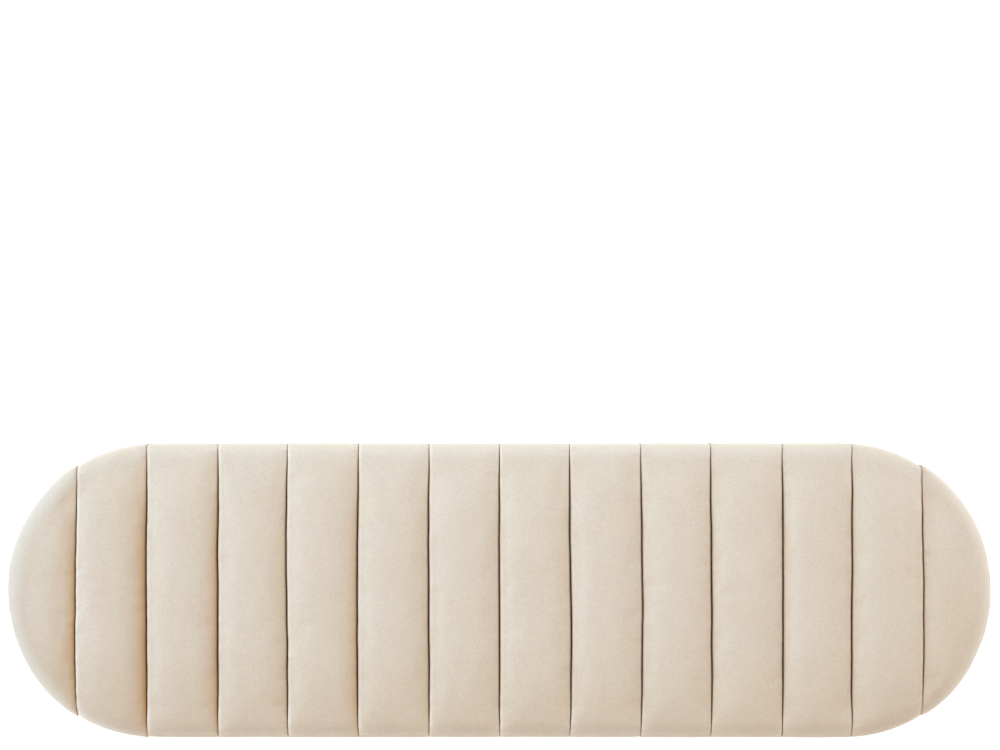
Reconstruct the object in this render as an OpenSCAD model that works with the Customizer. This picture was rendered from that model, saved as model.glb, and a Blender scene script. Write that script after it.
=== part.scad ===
// Channel-upholstered bench with a racetrack plan: two straight sides and two
// half-round ends.  Fourteen stuffed fabric channels run front to back over a
// foam slab, a plywood deck and a timber frame, and wrap under the frame.
// Four tapered tube legs carry it, each on a screw-adjusted glide.
// Units are millimetres.  +Z is up, +X is to the right, +Y is to the back.
// The origin is on the floor, below the middle of the bench.

/* [Overall] */
// Overall length of the bench, end to end
bench_length = 1500; // [1440:10:1560]
// Overall depth of the bench, front to back
bench_depth = 450; // [430:2:470]
// Overall height to the crown of the channels
bench_height = 460; // [440:5:500]

/* [Channels] */
// Width of one channel, seam to seam
channel_pitch = 107; // [100:0.5:110]
// Roundness of the channel's long edges where they dive into a seam
channel_round = 15; // [10:1:18]
// Roundness of the front, back and end edges of the seat
rim_round = 30; // [20:1:32]
// Thickness of wadding and fabric over the foam slab
pad_top = 20; // [18:1:26]
// Thickness of wadding and fabric round the frame
pad_side = 17; // [14:1:20]
// Clear space between two neighbouring channels
seam_gap = 0.6; // [0.4:0.1:1.2]
// Thickness of the fabric folded under the frame
hem_t = 3; // [2:0.5:4]
// How far the fabric is folded in under the frame
hem_w = 32; // [28:1:34]

/* [Foam, deck and frame] */
// Thickness of the foam slab
foam_t = 44; // [38:1:50]
// Depth of the grooves that hold the seams down
groove_d = 16; // [10:1:20]
// Width of those grooves
groove_w = 5; // [4:0.5:8]
// Thickness of the plywood deck
deck_t = 12; // [9:1:15]
// Height of the frame rails
rail_h = 80; // [70:1:90]
// Thickness of the frame rails and of the bent end rails
rail_t = 18; // [16:1:20]
// Thickness of the middle cross rails
cross_t = 20; // [18:1:24]
// Thickness of the two cross rails at the ends of the straight sides
joint_t = 40; // [36:2:44]
// Thickness of the boards that the legs are bolted to
board_t = 25; // [22:1:30]
// Width of those boards
board_w = 88; // [82:1:92]

/* [Legs] */
// Distance of the leg centres beyond the centres of the half-round ends
leg_out = 65; // [63:1:67]
// Distance of the leg centres from the middle, along the depth
leg_y = 130; // [110:1:130]
// Radius of the leg at the top
leg_r_top = 20; // [18:0.5:21]
// Radius of the leg at the bottom
leg_r_foot = 14; // [13.5:0.5:16]
// Wall of the leg tube
leg_wall = 2; // [1.5:0.1:2]
// Side of the square leg plate
plate_w = 74; // [72:1:76]
// Thickness of the leg plate
plate_t = 4; // [3:0.5:5]
// Distance of the four bolts from the leg centre, along each side
bolt_off = 25; // [24.5:0.5:26]

/* [Glides] */
// Thickness of the glide's foot
foot_h = 7; // [6:0.5:8]
// Radius of the glide's foot
foot_r = 15; // [14:0.5:16]
// Radius of the M8 stud
stud_r = 3.95; // [3.9:0.01:4]
// Length of the stud above its hex
stud_l = 34; // [30:1:40]

/* [Hidden] */
$fn = 96;
EPS = 0.01;
END_R = bench_depth / 2;                       // radius of the half-round ends
ARC_X = bench_length / 2 - END_R;              // where the half-rounds start
CORE_R = END_R - pad_side;                     // frame, deck and foam outline
RAIL_R = CORE_R - rail_t;                      // inner face of the rails
Z_TOP = bench_height;
Z_FOAM1 = Z_TOP - pad_top;
Z_FOAM0 = Z_FOAM1 - foam_t;
Z_DECK0 = Z_FOAM0 - deck_t;
Z_RAIL0 = Z_DECK0 - rail_h;                    // underside of the frame
Z_HEM0 = Z_RAIL0 - hem_t;
DUST_T = 1;
Z_PLATE1 = Z_HEM0 - DUST_T;                    // top of the leg plates
Z_PLATE0 = Z_PLATE1 - plate_t;
HEX_T = 4;
PLUG_T = 3;
Z_PLUG0 = foot_h + 0.2 + HEX_T + 0.1;          // underside of the leg's end plug
Z_LEG0 = Z_PLUG0 + PLUG_T;
SEAMS = [for (k = [-6:6]) k * channel_pitch];
LEG_X = ARC_X + leg_out;                       // leg centres, along the length
BOLTS = [for (sx = [-1, 1], sy = [-1, 1], bx = [-1, 1], by = [-1, 1])
    [sx * LEG_X + bx * bolt_off, sy * leg_y + by * bolt_off]];
LEGS = [for (sx = [-1, 1], sy = [-1, 1]) [sx * LEG_X, sy * leg_y]];

// ---------------------------------------------------------------- outlines

// Racetrack outline of the given end radius, round the same two end centres
module racetrack_2d(r) {
    square([2 * ARC_X, 2 * r], center = true);
    for (s = [-1, 1]) translate([s * ARC_X, 0]) circle(r);
}

module racetrack(r, z0, z1) {
    translate([0, 0, z0]) linear_extrude(z1 - z0) racetrack_2d(r);
}

// Half section of the seat, from its middle to its rim: rounded above and,
// by a smaller radius, below
module rim_section(r, z0, z1, ru, rl) {
    square_from([0, z0 + rl], [r, z1 - ru]);
    square_from([0, z0], [r - rl, z1]);
    square_from([0, z1 - ru - EPS], [r - ru, z1]);
    translate([r - ru, z1 - ru]) circle(ru);
    translate([r - rl, z0 + rl]) circle(rl);
}

module square_from(a, b) {
    translate(a) square([b[0] - a[0], b[1] - a[1]]);
}

// ---------------------------------------------------------------- channels

// Section of one channel across its width: its two long edges are rounded
module channel_section(x0, x1, round_left, round_right) {
    z1 = Z_TOP;
    z0 = Z_HEM0 - 1;
    a = round_left ? channel_round : 0;
    b = round_right ? channel_round : 0;
    difference() {
        square_from([x0, z0], [x1, z1]);
        if (round_left) square_from([x0 - 1, z1 - a], [x0 + a, z1 + 1]);
        if (round_right) square_from([x1 - b, z1 - b], [x1 + 1, z1 + 1]);
    }
    if (round_left) intersection() {
        translate([x0 + a, z1 - a]) circle(a);
        square_from([x0, z1 - a], [x0 + a, z1]);
    }
    if (round_right) intersection() {
        translate([x1 - b, z1 - b]) circle(b);
        square_from([x1 - b, z1 - b], [x1, z1]);
    }
}

// The space inside a channel that the foam, deck and frame fill, and the
// opening in the hem below
module channel_core() {
    racetrack(CORE_R + 0.05, Z_RAIL0, Z_FOAM1 + 0.05);
    racetrack(END_R - hem_w, Z_HEM0 - 1, Z_RAIL0 + 1);
}

module straight_rim() {
    translate([-ARC_X - 30, 0, 0]) rotate([90, 0, 90])
        linear_extrude(2 * ARC_X + 60) {
            rim_section(END_R, Z_HEM0, Z_TOP, rim_round, 3);
            mirror([1, 0]) rim_section(END_R, Z_HEM0, Z_TOP, rim_round, 3);
        }
}

module round_rim(side) {
    translate([side * ARC_X, 0, 0]) rotate_extrude()
        intersection() {
            rim_section(END_R, Z_HEM0, Z_TOP, rim_round, 3);
            square_from([0, 0], [END_R + 1, Z_TOP + 1]);
        }
}

// One upholstered channel; n runs from 1 at the left end to 14 at the right
module channel(n) {
    x0 = n == 1 ? -bench_length / 2 - 5 : SEAMS[n - 2] + seam_gap / 2;
    x1 = n == 14 ? bench_length / 2 + 5 : SEAMS[n - 1] - seam_gap / 2;
    color([0.86, 0.81, 0.74])
    difference() {
        intersection() {
            if (n <= 2) round_rim(-1);
            else if (n >= 13) round_rim(1);
            else straight_rim();
            translate([0, END_R + 10, 0]) rotate([90, 0, 0])
                linear_extrude(2 * END_R + 20)
                    channel_section(x0, x1, n != 1, n != 14);
        }
        channel_core();
    }
}

// Half of the depth of the foam at a given place along the length
function half_depth(x, r) =
    abs(x) <= ARC_X ? r : sqrt(max(0, r * r - pow(abs(x) - ARC_X, 2)));

// The sewn seam allowances, drawn down into the foam's grooves
module seam_listings() {
    color([0.80, 0.76, 0.68])
    for (x = SEAMS) {
        h = half_depth(x, CORE_R) - 3;
        translate([x - 1, -h, Z_FOAM1 - groove_d + 2])
            cube([2, 2 * h, groove_d - 2.2]);
    }
}

// ---------------------------------------------------------- foam and frame

module foam_slab() {
    color([0.93, 0.90, 0.76])
    difference() {
        racetrack(CORE_R, Z_FOAM0, Z_FOAM1);
        for (x = SEAMS)
            translate([x - groove_w / 2, -END_R, Z_FOAM1 - groove_d])
                cube([groove_w, 2 * END_R, groove_d + 1]);
    }
}

DECK_SCREWS = concat(
    [for (k = [-2.5:2.5], s = [-1, 1]) [k * (ARC_X - 40) / 2.5, s * (CORE_R - rail_t / 2)]],
    [for (s = [-1, 1], a = [-60, -20, 20, 60])
        [s * (ARC_X + (CORE_R - rail_t / 2) * cos(a)), (CORE_R - rail_t / 2) * sin(a)]],
    [for (x = [-175, 175], y = [-70, 70]) [x, y]]);

module deck_panel() {
    color([0.80, 0.66, 0.46])
    difference() {
        racetrack(CORE_R, Z_DECK0, Z_FOAM0);
        for (p = DECK_SCREWS) translate([p[0], p[1], Z_DECK0 - 1]) {
            cylinder(h = deck_t + 2, r = 2.3, $fn = 24);
            translate([0, 0, deck_t + 1 - 2.6]) cylinder(h = 4, r1 = 2.3, r2 = 6.3, $fn = 24);
        }
    }
}

// Countersunk wood screws, driven down from the deck into the rails
module deck_screws() {
    color([0.75, 0.72, 0.60])
    for (p = DECK_SCREWS) translate([p[0], p[1], 0]) {
        translate([0, 0, Z_FOAM0 - 2.6]) cylinder(h = 2.4, r1 = 2, r2 = 4.3, $fn = 24);
        translate([0, 0, Z_FOAM0 - 40]) cylinder(h = 37.5, r = 2, $fn = 24);
    }
}

module long_rail(side) {
    color([0.78, 0.62, 0.42])
    translate([-ARC_X, side > 0 ? RAIL_R : -CORE_R, Z_RAIL0])
        cube([2 * ARC_X, rail_t, rail_h]);
}

// Bent plywood rail round one end
module end_rail(side) {
    color([0.82, 0.68, 0.48])
    intersection() {
        translate([side * ARC_X, 0, Z_RAIL0]) difference() {
            cylinder(h = rail_h, r = CORE_R, $fn = 128);
            translate([0, 0, -1]) cylinder(h = rail_h + 2, r = RAIL_R, $fn = 128);
        }
        translate([side > 0 ? ARC_X : -ARC_X - END_R, -END_R, Z_RAIL0])
            cube([END_R, 2 * END_R, rail_h]);
    }
}

CROSS_X = [-ARC_X, -175, 175, ARC_X];
module cross_rail(i) {
    t = abs(CROSS_X[i]) > 300 ? joint_t : cross_t;
    color([0.76, 0.60, 0.40])
    difference() {
        translate([CROSS_X[i] - t / 2, -RAIL_R, Z_RAIL0]) cube([t, 2 * RAIL_R, rail_h]);
        // the ends of the two outer cross rails follow the bent rails
        if (t == joint_t) for (s = [-1, 1])
            translate([sign(CROSS_X[i]) * ARC_X, 0, Z_RAIL0 - 1]) difference() {
                translate([CROSS_X[i] > 0 ? 0 : -joint_t, -RAIL_R - 5, 0])
                    cube([joint_t, 2 * RAIL_R + 10, rail_h + 2]);
                translate([0, 0, -1]) cylinder(h = rail_h + 4, r = RAIL_R, $fn = 128);
            }
    }
}

// Wood screws through the rails into the ends of the cross rails
module frame_screws() {
    color([0.75, 0.72, 0.60])
    for (i = [0:3], s = [-1, 1], z = [22, 58], d = abs(CROSS_X[i]) > 300 ? [-11, 11] : [0])
        translate([CROSS_X[i] + d, s * (half_depth(CROSS_X[i] + d, CORE_R) - 0.4), Z_RAIL0 + z])
            rotate([s * 90, 0, 0]) {
                translate([0, 0, 0]) cylinder(h = 2.4, r1 = 4.3, r2 = 2, $fn = 24);
                translate([0, 0, 2.3]) cylinder(h = 55, r = 2, $fn = 24);
            }
}

// Hardwood board across one end; two legs are bolted up into it.  It stands
// down level with the folded fabric, so the leg plates bear on it
module leg_board(side) {
    x0 = ARC_X + joint_t / 2 + 0.5;
    color([0.70, 0.52, 0.34])
    difference() {
        intersection() {
            translate([side * ARC_X, 0, Z_HEM0]) cylinder(h = board_t, r = RAIL_R - 0.3, $fn = 128);
            translate([side > 0 ? x0 : -x0 - board_w, -END_R, Z_HEM0 - 1])
                cube([board_w, 2 * END_R, board_t + 2]);
        }
        for (p = BOLTS) if (p[0] * side > 0)
            translate([p[0], p[1], Z_HEM0 - 1]) cylinder(h = board_t + 2, r = 4, $fn = 32);
    }
}

module tee_nuts() {
    color([0.72, 0.72, 0.70])
    for (p = BOLTS) translate([p[0], p[1], Z_HEM0 + board_t]) difference() {
        union() {
            translate([0, 0, 0]) cylinder(h = 1.5, r = 9.5, $fn = 40);
            translate([0, 0, -9]) cylinder(h = 9.5, r = 3.85, $fn = 32);
        }
        translate([0, 0, -10]) cylinder(h = 13, r = 3.1, $fn = 32);
    }
}

// M6 button-head bolts, up through the leg plates into the tee nuts
module leg_bolts() {
    color([0.20, 0.19, 0.18])
    for (p = BOLTS) translate([p[0], p[1], 0]) difference() {
        union() {
            translate([0, 0, Z_PLATE0 - 2]) cylinder(h = 2, r = 5.25, $fn = 40);
            translate([0, 0, Z_PLATE0 - 3.2]) cylinder(h = 1.2, r1 = 3.9, r2 = 5.25, $fn = 40);
            translate([0, 0, Z_PLATE0 - EPS]) cylinder(h = 30.01, r = 2.95, $fn = 32);
        }
        translate([0, 0, Z_PLATE0 - 4]) cylinder(h = 2.6, r = 2.31, $fn = 6);
    }
}

// ------------------------------------------------------------- underside

// Thin black cloth that closes the underside
module dust_cover() {
    color([0.10, 0.10, 0.11])
    difference() {
        racetrack(END_R - hem_w + 9, Z_PLATE1, Z_HEM0);
        for (p = BOLTS) translate([p[0], p[1], Z_PLATE1 - 1]) cylinder(h = 3, r = 3.4, $fn = 32);
    }
}

STAPLE_R = END_R - hem_w + 4.5;
STAPLES = concat(
    [for (i = [-9:9], s = [-1, 1]) [i * 56, s * STAPLE_R, 0]],
    [for (s = [-1, 1], a = [-82.5:15:82.5])
        [s * (ARC_X + STAPLE_R * cos(a)), STAPLE_R * sin(a), 90 + s * a]]);

// Wire staples that hold the dust cover to the frame
module staples() {
    color([0.78, 0.78, 0.76])
    for (p = STAPLES) translate([p[0], p[1], Z_PLATE1]) rotate([0, 0, p[2]]) {
        translate([-5.5, -0.6, -0.6]) cube([11, 1.2, 0.6]);
        for (s = [-1, 1]) translate([s * 4.9 - 0.6, -0.4, -0.1]) cube([1.2, 0.8, 8.1]);
    }
}

// ------------------------------------------------------------------ legs

module leg_plate(x, y) {
    r = 8;
    color([0.72, 0.56, 0.30])
    translate([x, y, Z_PLATE0]) difference() {
        union() {
            translate([-plate_w / 2 + r, -plate_w / 2, 0]) cube([plate_w - 2 * r, plate_w, plate_t]);
            translate([-plate_w / 2, -plate_w / 2 + r, 0]) cube([plate_w, plate_w - 2 * r, plate_t]);
            for (sx = [-1, 1], sy = [-1, 1])
                translate([sx * (plate_w / 2 - r), sy * (plate_w / 2 - r), 0])
                    cylinder(h = plate_t, r = r, $fn = 48);
        }
        for (bx = [-1, 1], by = [-1, 1])
            translate([bx * bolt_off, by * bolt_off, -1]) cylinder(h = plate_t + 2, r = 3.3, $fn = 32);
    }
}

// Tapered steel tube with its weld bead at the top
module leg(x, y) {
    h = Z_PLATE0 - Z_LEG0;
    color([0.76, 0.60, 0.32])
    translate([x, y, Z_LEG0]) difference() {
        union() {
            cylinder(h = h, r1 = leg_r_foot, r2 = leg_r_top);
            translate([0, 0, h - 3]) cylinder(h = 3, r1 = leg_r_top - 0.06, r2 = leg_r_top + 2.6);
        }
        translate([0, 0, -EPS]) cylinder(h = h + 2 * EPS, r1 = leg_r_foot - leg_wall, r2 = leg_r_top - leg_wall);
    }
}

// Moulded plug in the end of the leg, with a pocket for the glide's nut
module leg_plug(x, y) {
    color([0.09, 0.09, 0.09])
    translate([x, y, 0]) difference() {
        union() {
            translate([0, 0, Z_PLUG0]) cylinder(h = PLUG_T, r = leg_r_foot, $fn = 64);
            translate([0, 0, Z_LEG0 - EPS]) cylinder(h = 20, r = leg_r_foot - leg_wall - 0.15, $fn = 64);
        }
        translate([0, 0, Z_PLUG0 - 1]) cylinder(h = 30, r = 4.4, $fn = 40);
        translate([0, 0, Z_LEG0 + 13.2]) cylinder(h = 10, r = 7.75, $fn = 6);
    }
}

// M8 nuts held in the plugs
module glide_nuts() {
    color([0.70, 0.70, 0.68])
    for (p = LEGS) translate([p[0], p[1], Z_LEG0 + 13.3]) difference() {
        cylinder(h = 6.5, r = 7.5, $fn = 6);
        translate([0, 0, -1]) cylinder(h = 9, r = stud_r + 0.08, $fn = 40);
    }
}

// M8 stud with its hex, which turns in the glide's foot on a captive head
module glide_stud(x, y) {
    color([0.72, 0.72, 0.70])
    translate([x, y, 0]) {
        translate([0, 0, 2.3]) cylinder(h = 1.6, r = 6, $fn = 48);
        translate([0, 0, 3.8]) cylinder(h = foot_h - 3.8 + 0.3, r = 4.2, $fn = 40);
        translate([0, 0, foot_h + 0.2]) cylinder(h = HEX_T, r = 7.5, $fn = 6);
        translate([0, 0, foot_h + HEX_T + 0.1]) cylinder(h = stud_l, r = stud_r, $fn = 40);
    }
}

// Round plastic foot that rests on the floor
module glide_foot(x, y) {
    color([0.08, 0.08, 0.08])
    translate([x, y, 0]) difference() {
        union() {
            cylinder(h = 1, r1 = foot_r - 1, r2 = foot_r, $fn = 64);
            translate([0, 0, 1]) cylinder(h = foot_h - 3, r = foot_r, $fn = 64);
            translate([0, 0, foot_h - 2]) cylinder(h = 2, r1 = foot_r, r2 = foot_r - 2, $fn = 64);
        }
        translate([0, 0, 2.2]) cylinder(h = 1.8, r = 6.1, $fn = 48);
        translate([0, 0, 3.6]) cylinder(h = foot_h, r = 4.28, $fn = 40);
    }
}

// --------------------------------------------------------------- the parts

channel(1);  // channel_01
channel(2);  // channel_02
channel(3);  // channel_03
channel(4);  // channel_04
channel(5);  // channel_05
channel(6);  // channel_06
channel(7);  // channel_07
channel(8);  // channel_08
channel(9);  // channel_09
channel(10);  // channel_10
channel(11);  // channel_11
channel(12);  // channel_12
channel(13);  // channel_13
channel(14);  // channel_14
seam_listings();
foam_slab();
deck_panel();
long_rail(-1);  // front_rail
long_rail(1);  // back_rail
end_rail(-1);  // end_rail_left
end_rail(1);  // end_rail_right
cross_rail(0);  // cross_rail_1
cross_rail(1);  // cross_rail_2
cross_rail(2);  // cross_rail_3
cross_rail(3);  // cross_rail_4
leg_board(-1);  // leg_board_left
leg_board(1);  // leg_board_right
dust_cover();
staples();
deck_screws();
frame_screws();
leg_bolts();
tee_nuts();
leg_plate(-LEG_X, -leg_y);  // leg_plate_front_left
leg_plate(LEG_X, -leg_y);  // leg_plate_front_right
leg_plate(-LEG_X, leg_y);  // leg_plate_back_left
leg_plate(LEG_X, leg_y);  // leg_plate_back_right
leg(-LEG_X, -leg_y);  // leg_front_left
leg(LEG_X, -leg_y);  // leg_front_right
leg(-LEG_X, leg_y);  // leg_back_left
leg(LEG_X, leg_y);  // leg_back_right
leg_plug(-LEG_X, -leg_y);  // leg_plug_front_left
leg_plug(LEG_X, -leg_y);  // leg_plug_front_right
leg_plug(-LEG_X, leg_y);  // leg_plug_back_left
leg_plug(LEG_X, leg_y);  // leg_plug_back_right
glide_nuts();
glide_stud(-LEG_X, -leg_y);  // glide_stud_front_left
glide_stud(LEG_X, -leg_y);  // glide_stud_front_right
glide_stud(-LEG_X, leg_y);  // glide_stud_back_left
glide_stud(LEG_X, leg_y);  // glide_stud_back_right
glide_foot(-LEG_X, -leg_y);  // glide_foot_front_left
glide_foot(LEG_X, -leg_y);  // glide_foot_front_right
glide_foot(-LEG_X, leg_y);  // glide_foot_back_left
glide_foot(LEG_X, leg_y);  // glide_foot_back_right
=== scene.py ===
import math

import bmesh
import bpy
import numpy as np
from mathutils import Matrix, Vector


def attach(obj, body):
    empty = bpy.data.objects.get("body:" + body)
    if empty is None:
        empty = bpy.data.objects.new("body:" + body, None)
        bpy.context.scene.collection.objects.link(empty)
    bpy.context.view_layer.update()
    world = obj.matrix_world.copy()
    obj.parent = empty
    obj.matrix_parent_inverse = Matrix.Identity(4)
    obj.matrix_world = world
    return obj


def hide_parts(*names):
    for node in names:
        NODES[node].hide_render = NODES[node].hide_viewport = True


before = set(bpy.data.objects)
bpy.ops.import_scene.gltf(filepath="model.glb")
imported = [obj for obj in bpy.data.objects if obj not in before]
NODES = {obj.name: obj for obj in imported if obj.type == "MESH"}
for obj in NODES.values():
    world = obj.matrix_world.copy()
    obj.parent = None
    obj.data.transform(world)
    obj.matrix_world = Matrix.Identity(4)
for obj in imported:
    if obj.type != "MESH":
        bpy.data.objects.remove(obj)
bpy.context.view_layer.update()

SCENE = bpy.context.scene
COLLECTION = SCENE.collection

# ------------------------------------------------------------------ sizes
# Metres, in the frame of the CAD model.
ARC_X = 0.525            # where the half-round ends start
END_R = 0.225            # their radius, and half the depth of the seat
PITCH = 0.107            # one channel
HALF = PITCH / 2
SEAM_X = [k * PITCH for k in range(-6, 7)]
Z_TOP = 0.460
Z_HEM = 0.301            # underside of the fabric folded under the frame
CORE_R = 0.2085          # foam, deck and frame, with a little air
CORE_TOP = 0.4405
HEM_IN = 0.193           # inner edge of the folded fabric

# The valley between two channels is drawn down to the foam's groove on the
# top and lies shallow on the sides.
VALLEY_TOP, VALLEY_RIM, VALLEY_SIDE, VALLEY_HEM = 0.0165, 0.0052, 0.0019, 0.0008


def smoothstep(x):
    x = np.clip(x, 0.0, 1.0)
    return x * x * (3 - 2 * x)


class Waves:
    """Smooth seeded noise on a plane: a few dozen cosines of random direction and phase, with wavelengths in a band."""

    def __init__(self, seed, shortest, longest, count=28):
        rng = np.random.default_rng(seed)
        length = np.exp(rng.uniform(math.log(shortest), math.log(longest), count))
        turn = rng.uniform(0, 2 * math.pi, count)
        self.kx = 2 * math.pi * np.cos(turn) / length
        self.ky = 2 * math.pi * np.sin(turn) / length
        self.phase = rng.uniform(0, 2 * math.pi, count)
        self.scale = math.sqrt(2.0 / count)

    def __call__(self, x, y):
        out = np.zeros(np.broadcast(x, y).shape)
        for a, b, p in zip(self.kx, self.ky, self.phase):
            out += np.cos(a * x + b * y + p)
        return out * self.scale


# ------------------------------------------------- section of the upholstery
def section():
    """Crown line of the seat from its middle over the rim, down the side and in under the frame: arc length, distance
    from the middle, height, outward normal, depth of the valleys, half gap of the slit, and the matching inner line."""
    step = 0.0005
    parts = [  # length and slope at the end of each stretch, in degrees below level
        (0.090, 0.5), (0.060, 2.4), (0.042, 8.5),          # top
        (0.0450, 86.0),                                      # rim
        (0.045, 90.6), (0.062, 92.4), (0.0130, 96.0),        # side
        (0.0075, 180.0), (0.0262, 180.0),                    # under the frame
    ]
    s_ends = np.concatenate([[0], np.cumsum([p[0] for p in parts])])
    slopes = np.array([0.0] + [p[1] for p in parts])
    s = np.arange(0, s_ends[-1] + step / 2, step)
    phi = np.radians(np.interp(s, s_ends, slopes))
    kernel = np.hanning(17)
    kernel /= kernel.sum()
    phi = np.convolve(np.concatenate([phi[:1].repeat(8), phi, phi[-1:].repeat(8)]), kernel, "valid")
    r = np.concatenate([[0], np.cumsum(np.cos((phi[1:] + phi[:-1]) / 2)) * step])
    z = Z_TOP - np.concatenate([[0], np.cumsum(np.sin((phi[1:] + phi[:-1]) / 2)) * step])
    r *= END_R / r.max()                       # widest at the middle of the side
    z = Z_TOP - (Z_TOP - z) * (Z_TOP - Z_HEM) / (Z_TOP - z.min())
    nr, nz = np.sin(phi), np.cos(phi)
    s_rim, s_side, s_low, s_hem = s_ends[3], s_ends[4], s_ends[7], s_ends[8]
    depth = np.interp(s, [0, s_rim - 0.060, s_rim - 0.02, s_rim + 0.010, s_rim + 0.028, s_side, s_low, s_hem, s_ends[-1]],
                      [VALLEY_TOP, VALLEY_TOP, VALLEY_TOP * 0.82, VALLEY_RIM * 1.15, VALLEY_SIDE * 1.2, VALLEY_SIDE,
                       VALLEY_SIDE * 0.9, VALLEY_HEM, VALLEY_HEM])
    blunt = np.interp(s, [0, s_rim - 0.02, s_side, s_ends[-1]], [0, 0, 1, 1])
    gap = np.interp(s, [0, s_rim - 0.07, s_rim - 0.02, s_rim + 0.012, s_side - 0.01, s_low, s_ends[-1]],
                    [0.00072, 0.00066, 0.00040, 0.00016, 0.00012, 0.00014, 0.00014])
    # the inner line, along the foam's top, round its corner, down the frame and in under it
    f = np.clip((s - s_rim) / (s_side - s_rim), 0, 1)
    ri = np.where(s < s_rim, r, np.interp(f, [0, 0.5, 1], [np.interp(s_rim, s, r), CORE_R, CORE_R]))
    zi = np.where(s < s_rim, CORE_TOP, np.interp(f, [0, 0.5, 1], [CORE_TOP, CORE_TOP, np.interp(s_side, s, z)]))
    down = s > s_side
    zi = np.where(down, np.minimum(z, zi.min()), zi)
    h = np.clip((s - s_low) / (s_ends[-1] - s_low), 0, 1)
    ri = np.where(s > s_low, CORE_R - (CORE_R - HEM_IN) * h, ri)
    zi = np.maximum(zi, 0.3036)
    zi = np.where(s > s_low, 0.3036, zi)
    last = r[-1]
    r = np.where(s > s_hem, r + (HEM_IN - last) * (s - s_hem) / (s_ends[-1] - s_hem), r)
    return dict(s=s, r=r, z=z, nr=nr, nz=nz, depth=depth, gap=gap, blunt=blunt, ri=ri, zi=zi, S=s_ends[-1],
                s_rim=s_rim, s_side=s_side, s_low=s_low, s_hem=s_hem, r_rim=float(np.interp(s_rim, s, r)))


SEC = section()


def at(key, s):
    return np.interp(s, SEC["s"], SEC[key])


# How far each seam leaves its straight line: one bow and one S, in millimetres, positive to the right.
BOW = [-2.3, -1.7, -0.8, -2.0, -1.9, -0.6, -0.7, 1.7, 3.1, 1.6, 1.5, 0.2, 2.9]
ESS = [0.5, -0.5, -0.3, -1.1, 0.2, -0.4, -0.2, -1.1, -0.4, -0.6, 0.2, 0.9, -0.5]
# and how far its ends lie beside the groove
ASIDE = [1.6, 1.2, 1.7, 0.3, 0.3, 0.4, 0.4, -0.5, -0.4, -0.8, 0.5, -0.9, -2.0]
# How wide each seam stands open, against the usual.
OPEN = [0.70, 1.0, 1.22, 1.12, 1.22, 1.25, 1.15, 1.28, 1.18, 1.22, 1.12, 1.08, 0.88]
WANDER = [Waves(100 + k, 0.055, 0.17, 12) for k in range(13)]


def seam_line(k, s, sign):
    """x of seam k at arc length s, on the back (sign 1) or the front (sign -1)."""
    half = SEC["s_side"]
    u = np.clip(s / half, 0, 1.6) * sign
    fade = np.where(s < half, 1.0, np.exp(-((s - half) / 0.05)))
    bow = BOW[k] * np.cos(np.clip(np.abs(u), 0, 1) * math.pi / 2) ** 0.8 * fade
    ess = ESS[k] * np.sin(np.clip(u, -1, 1) * math.pi) * fade
    small = 0.22 * WANDER[k](s * sign, 0.31 * k) * (0.6 + 0.4 * fade)
    # over the back rim the seams spread a little towards the ends
    over = np.where(sign > 0, smoothstep((s - SEC["s_rim"]) / (half - SEC["s_rim"])), 0.0) * fade
    return SEAM_X[k] * (1 + 0.0045 * over) + (bow + ess + small + ASIDE[k] * (0.4 + 0.6 * fade)) * 1e-3


ROUND = 0.60             # share of the valley's depth that belongs to the channel's arch, the rest to its edges
CUT = 0.94               # how much of the arch is left of the seams
EDGE_N = 12.0            # how sharp the edges are


def crown(t, n, blunt):
    """Height of a stuffed channel's section above its seams, from 0 at the seams (t = -1, 1) to 1: an arch over the
    whole width on top of a nearly flat form that drops into the seams."""
    t = np.clip(np.abs(t), 0, 1)
    foot = (1 - CUT ** n) ** (1 / n)
    arch = ((1 - (CUT * t) ** n) ** (1 / n) - foot) / (1 - foot)
    edge = (1 - t ** EDGE_N) ** (1 / EDGE_N)
    share = ROUND * (1 - 0.6 * blunt)
    return share * arch + (1 - share) * edge


BROAD = Waves(7, 0.07, 0.22, 26)
MEDIUM = Waves(8, 0.022, 0.06, 34)
PUCKER = [Waves(40 + k, 0.010, 0.030, 24) for k in range(13)]


# Painted shade, deeper and warmer, on the flank that faces the seam at each channel's right, most of all in the left
# half of the seat. Strength of it close to the seam and over the whole width, and close to the seam at the channel's
# left, for channels 1 to 14.
FLANK_SHADE_RIGHT = [0.74, 0.92, 0.80, 0.30, 0.64, 0.24, 0.12, 0.14, 0.08, 0.08, 0.05, 0.05, 0.03, 0.0]
FLANK_SHADE_WIDE = [0.22, 0.24, 0.05, 0.03, 0.03, 0.02, 0.0, 0.0, 0.0, 0.0, 0.02, 0.02, 0.04, 0.08]
FLANK_SHADE_LEFT = [0.0, 0.0, 0.0, 0.0, 0.0, 0.0, 0.0, 0.02, 0.03, 0.08, 0.12, 0.16, 0.18, 0.20]


def flank_shade(n, d_left, d_right, along):
    """along is the arc length from the middle line, positive to the back: the painted shade fades towards the back, and
    a faint band of it lies over the front of the top.
    """
    fade = np.interp(along, [-0.22, -0.20, -0.10, 0.04, 0.12, 0.19, 0.23], [0.6, 1.0, 1.05, 1.0, 0.74, 0.34, 0.20])
    front = smoothstep((-along - 0.06) / 0.13) * (1 - smoothstep((-along - 0.195) / 0.018))
    return ((FLANK_SHADE_RIGHT[n - 1] * np.exp(-d_right / 0.0075) + FLANK_SHADE_WIDE[n - 1] * np.exp(-d_right / 0.040)) * fade
            + FLANK_SHADE_LEFT[n - 1] * np.exp(-d_left / 0.009) + 0.10 * front)
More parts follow.
